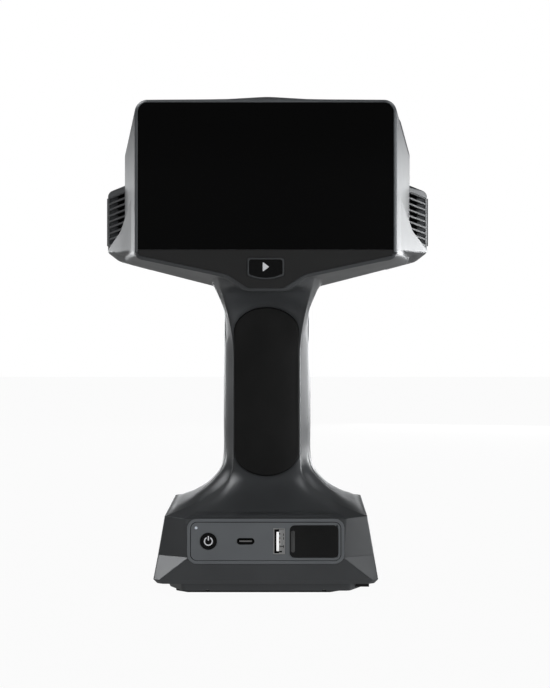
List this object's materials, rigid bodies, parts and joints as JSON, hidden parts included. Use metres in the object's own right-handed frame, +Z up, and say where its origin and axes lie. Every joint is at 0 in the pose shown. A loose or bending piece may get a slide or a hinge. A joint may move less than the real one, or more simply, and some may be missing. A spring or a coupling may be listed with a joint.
{
  "type": "handheld scanner",
  "caption": "Handheld wireless 3-D scanner: wide head with a touch screen and side vents, upright rubber-gripped handle, flared base with a port panel and a slide-out battery.",
  "frame": {"origin": "on the face the scanner stands on, in the middle of its base under the handle", "axes": "+Z up, +Y towards what is being scanned, +X to the operator's right"},
  "size_m": [0.1778, 0.1152, 0.2663],
  "materials": {
    "aluminium": "anodised",
    "battery_wrap": "shrink film",
    "black_metal": "satin black",
    "black_plastic": "fine matt texture",
    "button_gloss": "polished",
    "cable": "cable jacket",
    "chip_black": "moulded",
    "circuit_board": "solder mask",
    "clear_glass": "polished",
    "contact_gold": "plated",
    "display_panel": "dark display stack",
    "grip_rubber": "fine matt texture",
    "housing_plastic": "satin, finely textured dark grey",
    "lamp": "clear lamp",
    "lens_glass": "coated",
    "light_pipe": "clear moulded",
    "panel_plastic": "satin mid grey",
    "screen_glass": "polished, black behind",
    "steel": "plated",
    "symbol_white": "light-passing print",
    "tape": "adhesive tape",
    "tongue_white": "moulded",
    "trim_plastic": "smooth matt, near black"
  },
  "bodies": {
    "housing": {"base_tray": "housing_plastic", "base_tray_screws": "steel", "battery_bay": "black_plastic", "battery_contacts": "contact_gold", "button_board": "circuit_board", "camera_left": "black_metal", "camera_lenses": "lens_glass", "camera_right": "black_metal", "card_socket": "black_plastic", "control_trim": "trim_plastic", "cover_glass": "screen_glass", "display_gasket": "tape", "display_module": "display_panel", "fan_frame_left": "black_plastic", "fan_frame_right": "black_plastic", "front_bezel": "black_plastic", "front_grip": "grip_rubber", "front_housing": "housing_plastic", "front_window": "clear_glass", "heat_sink": "aluminium", "housing_screws": "steel", "led_lamps": "lamp", "led_rings": "circuit_board", "main_board": "circuit_board", "main_chips": "chip_black", "optical_bench": "aluminium", "port_board": "circuit_board", "port_cover_pin": "steel", "port_panel": "panel_plastic", "port_panel_screws": "steel", "power_switch": "black_plastic", "projector": "black_metal", "projector_lens": "lens_glass", "rear_grip": "grip_rubber", "rear_housing": "housing_plastic", "scan_switch": "black_plastic", "screen_frame": "housing_plastic", "status_light_pipe": "light_pipe", "texture_camera": "black_metal", "usb_a_shell": "steel", "usb_a_tongue": "tongue_white", "usb_c_shell": "steel", "usb_c_tongue": "black_plastic", "vent_grille_left": "housing_plastic", "vent_grille_right": "housing_plastic", "wiring_harness": "cable"},
    "scan_key": {"scan_button": "housing_plastic", "scan_button_lens": "button_gloss", "scan_symbol": "symbol_white"},
    "power_key": {"power_button": "button_gloss", "power_symbol": "symbol_white"},
    "cover": {"port_cover": "grip_rubber"},
    "battery": {"battery_case": "black_plastic", "battery_cells": "battery_wrap", "battery_foot": "black_plastic", "foot_pad": "grip_rubber"},
    "latch": {"battery_latch": "black_plastic"},
    "rotor_left": {"fan_rotor_left": "black_plastic"},
    "rotor_right": {"fan_rotor_right": "black_plastic"}
  },
  "joints": [
    {"name": "scan_press", "type": "slide", "parent": "housing", "child": "scan_key", "axis": [0, 1, 0], "range_m": [0, 0.001], "stiffness_N_per_m": 300},
    {"name": "power_press", "type": "slide", "parent": "housing", "child": "power_key", "axis": [0, 0.9971, -0.0767], "range_m": [0, 0.0008], "stiffness_N_per_m": 300},
    {"name": "cover_swing", "type": "hinge", "parent": "housing", "child": "cover", "pos_m": [0.0356, -0.056, 0.02812], "axis": [0, 0.0767, 0.9971], "range_deg": [0, 95]},
    {"name": "battery_slide", "type": "slide", "parent": "housing", "child": "battery", "axis": [0, 0, -1], "range_m": [0, 0.14]},
    {"name": "latch_slide", "type": "slide", "parent": "housing", "child": "latch", "axis": [-1, 0, 0], "range_m": [0, 0.0025], "stiffness_N_per_m": 300},
    {"name": "fan_left_spin", "type": "hinge", "parent": "housing", "child": "rotor_left", "pos_m": [-0.0604, 0.012, 0.198], "axis": [1, 0, 0], "continuous": true},
    {"name": "fan_right_spin", "type": "hinge", "parent": "housing", "child": "rotor_right", "pos_m": [0.0604, 0.012, 0.198], "axis": [1, 0, 0], "continuous": true}
  ]
}
